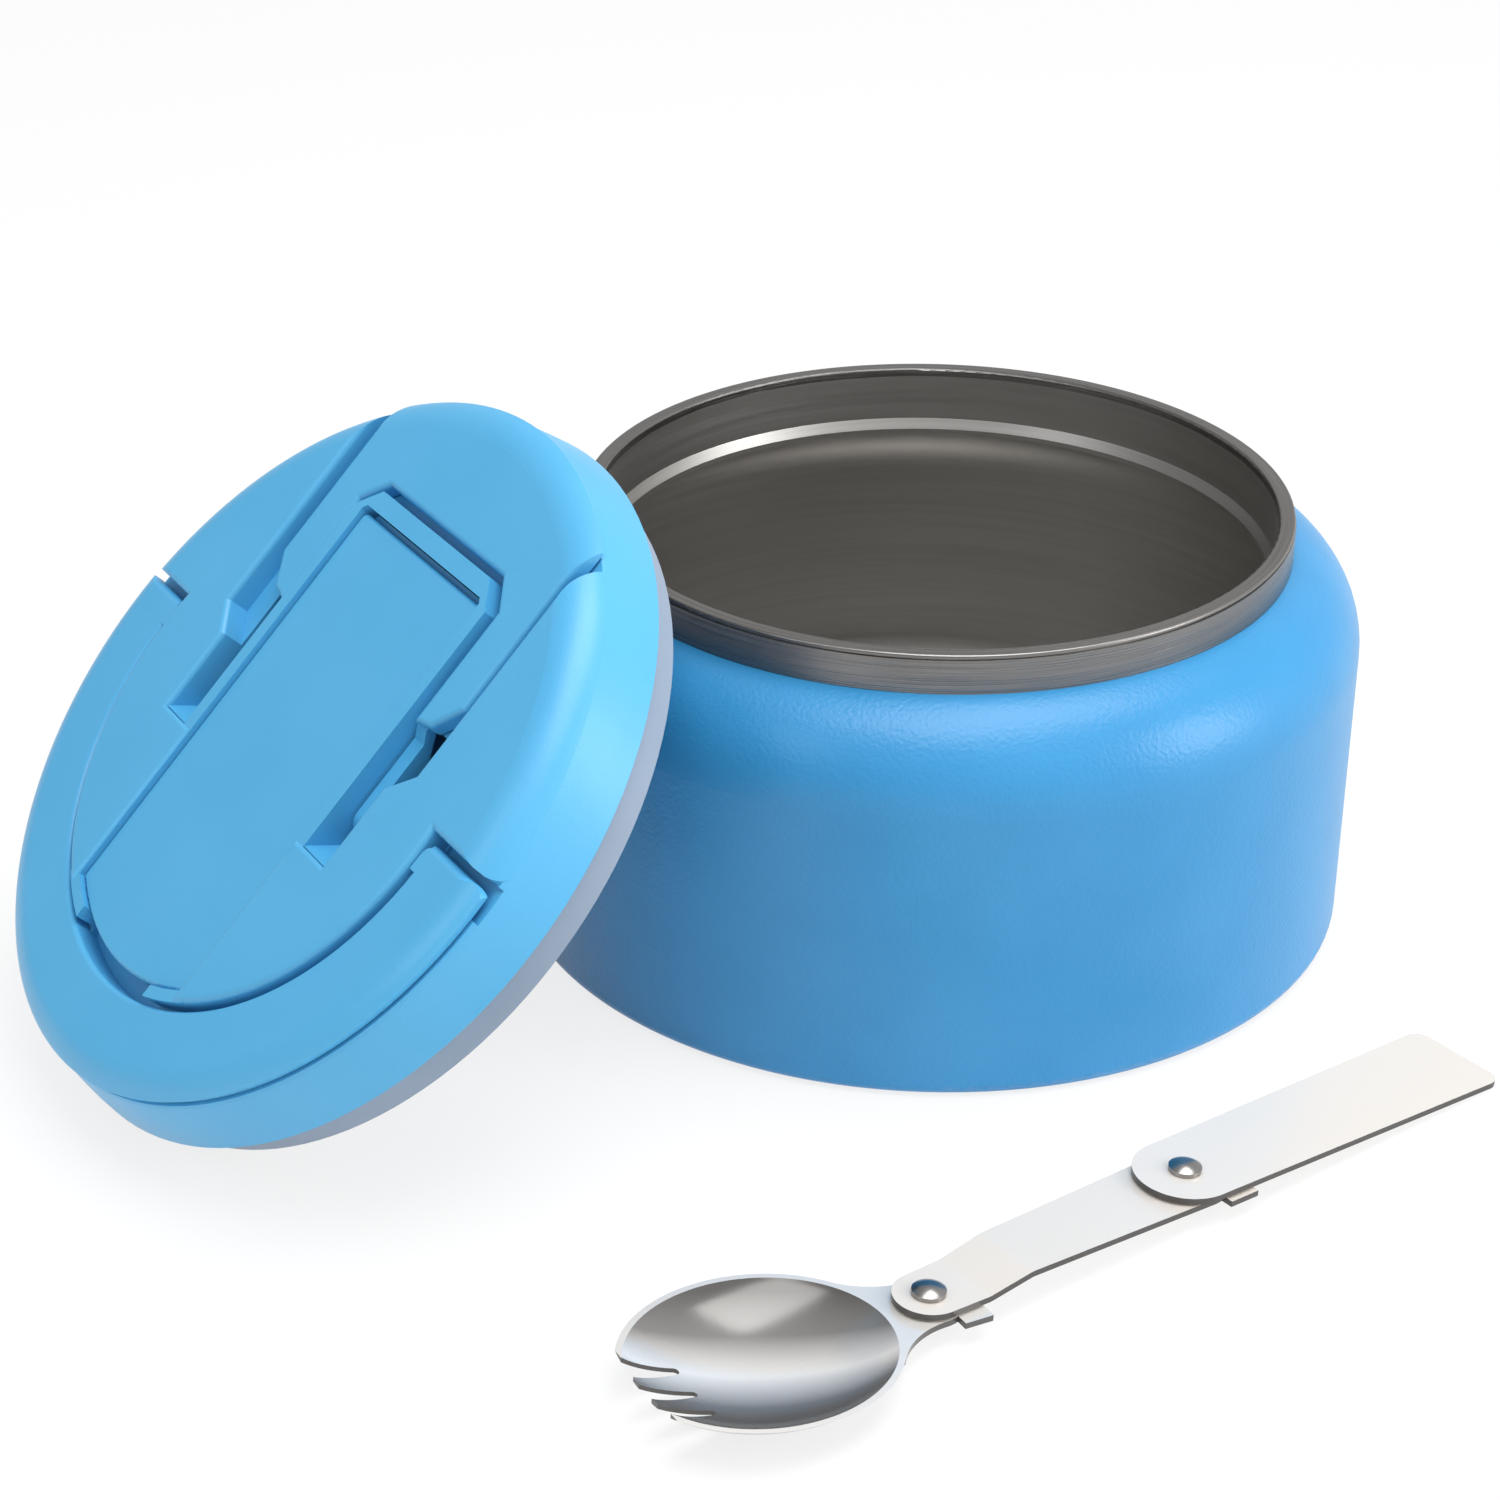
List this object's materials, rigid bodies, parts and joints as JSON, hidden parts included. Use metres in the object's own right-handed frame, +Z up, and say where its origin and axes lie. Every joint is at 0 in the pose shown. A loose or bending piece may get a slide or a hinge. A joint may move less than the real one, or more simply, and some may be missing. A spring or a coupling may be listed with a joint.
{
  "type": "insulated food jar",
  "caption": "Wide double-walled steel food jar standing open, with a leaning plastic lid that has a bail handle, flap and spork compartment, and a folding spork.",
  "frame": {"origin": "centre of the jar's base on the surface it stands on", "axes": "+Z up, -Y towards the viewer, the lid leans on the -X side"},
  "size_m": [0.2407, 0.237, 0.0992],
  "materials": {
    "coat": "fine powder coat, satin",
    "brushed": "brushed around, satin",
    "liner": "electropolished, satin",
    "getter_metal": "pressed metal, matte",
    "seal_glass": "fused glass bead",
    "lid_blue": "moulded, satin gloss",
    "pale": "moulded, translucent pale grey",
    "silicone": "soft silicone",
    "foam": "rigid white foam",
    "pin_steel": "drawn wire",
    "spork_steel": "polished",
    "rivet_steel": "polished dome"
  },
  "bodies": {
    "jar": {"outer_shell": "coat", "neck_band": "brushed", "inner_vessel": "liner", "base_plate": "coat", "getter": "getter_metal", "vacuum_seal": "seal_glass"},
    "lid": {"lid_shell": "lid_blue", "inner_plug": "pale", "lid_seal": "silicone", "plug_foam": "foam", "plug_cover": "pale", "spork_tray": "lid_blue", "vent_valve": "silicone", "cover_pins": "pin_steel", "flap_pins": "pin_steel", "handle_pins": "pin_steel"},
    "handle": {"carry_handle": "lid_blue"},
    "flap": {"vent_flap": "lid_blue"},
    "cover": {"compartment_cover": "lid_blue"},
    "spork": {"spork_bowl": "spork_steel", "bowl_rivet": "rivet_steel", "bowl_washer": "rivet_steel"},
    "link": {"spork_link": "spork_steel", "handle_rivet": "rivet_steel", "link_washer": "rivet_steel"},
    "grip": {"spork_handle": "spork_steel"}
  },
  "joints": [
    {"name": "lid_lift", "type": "slide", "parent": "jar", "child": "lid", "axis": [0, 0, 1], "range_m": [0, 0.12]},
    {"name": "handle_swing", "type": "hinge", "parent": "lid", "child": "handle", "pos_m": [-0.1018, -0.05786, 0.05739], "axis": [-0.5173, 0.8558, 0], "range_deg": [0, 88]},
    {"name": "flap_swing", "type": "hinge", "parent": "lid", "child": "flap", "pos_m": [-0.10058, -0.05713, 0.05244], "axis": [0.5173, -0.8558, 0], "range_deg": [0, 65]},
    {"name": "cover_swing", "type": "hinge", "parent": "lid", "child": "cover", "pos_m": [-0.08252, -0.04621, 0.08055], "axis": [-0.5173, 0.8558, 0], "range_deg": [0, 95]},
    {"name": "spork_lift", "type": "slide", "parent": "jar", "child": "spork", "axis": [0, 0, 1], "range_m": [0, 0.1]},
    {"name": "link_fold", "type": "hinge", "parent": "spork", "child": "link", "pos_m": [-0.00453, -0.13127, 0.00509], "axis": [-0.051, -0.0407, -0.9979], "range_deg": [0, 188]},
    {"name": "grip_fold", "type": "hinge", "parent": "link", "child": "grip", "pos_m": [0.03583, -0.09905, 0.00411], "axis": [-0.051, -0.0407, -0.9979], "range_deg": [0, 180]}
  ]
}
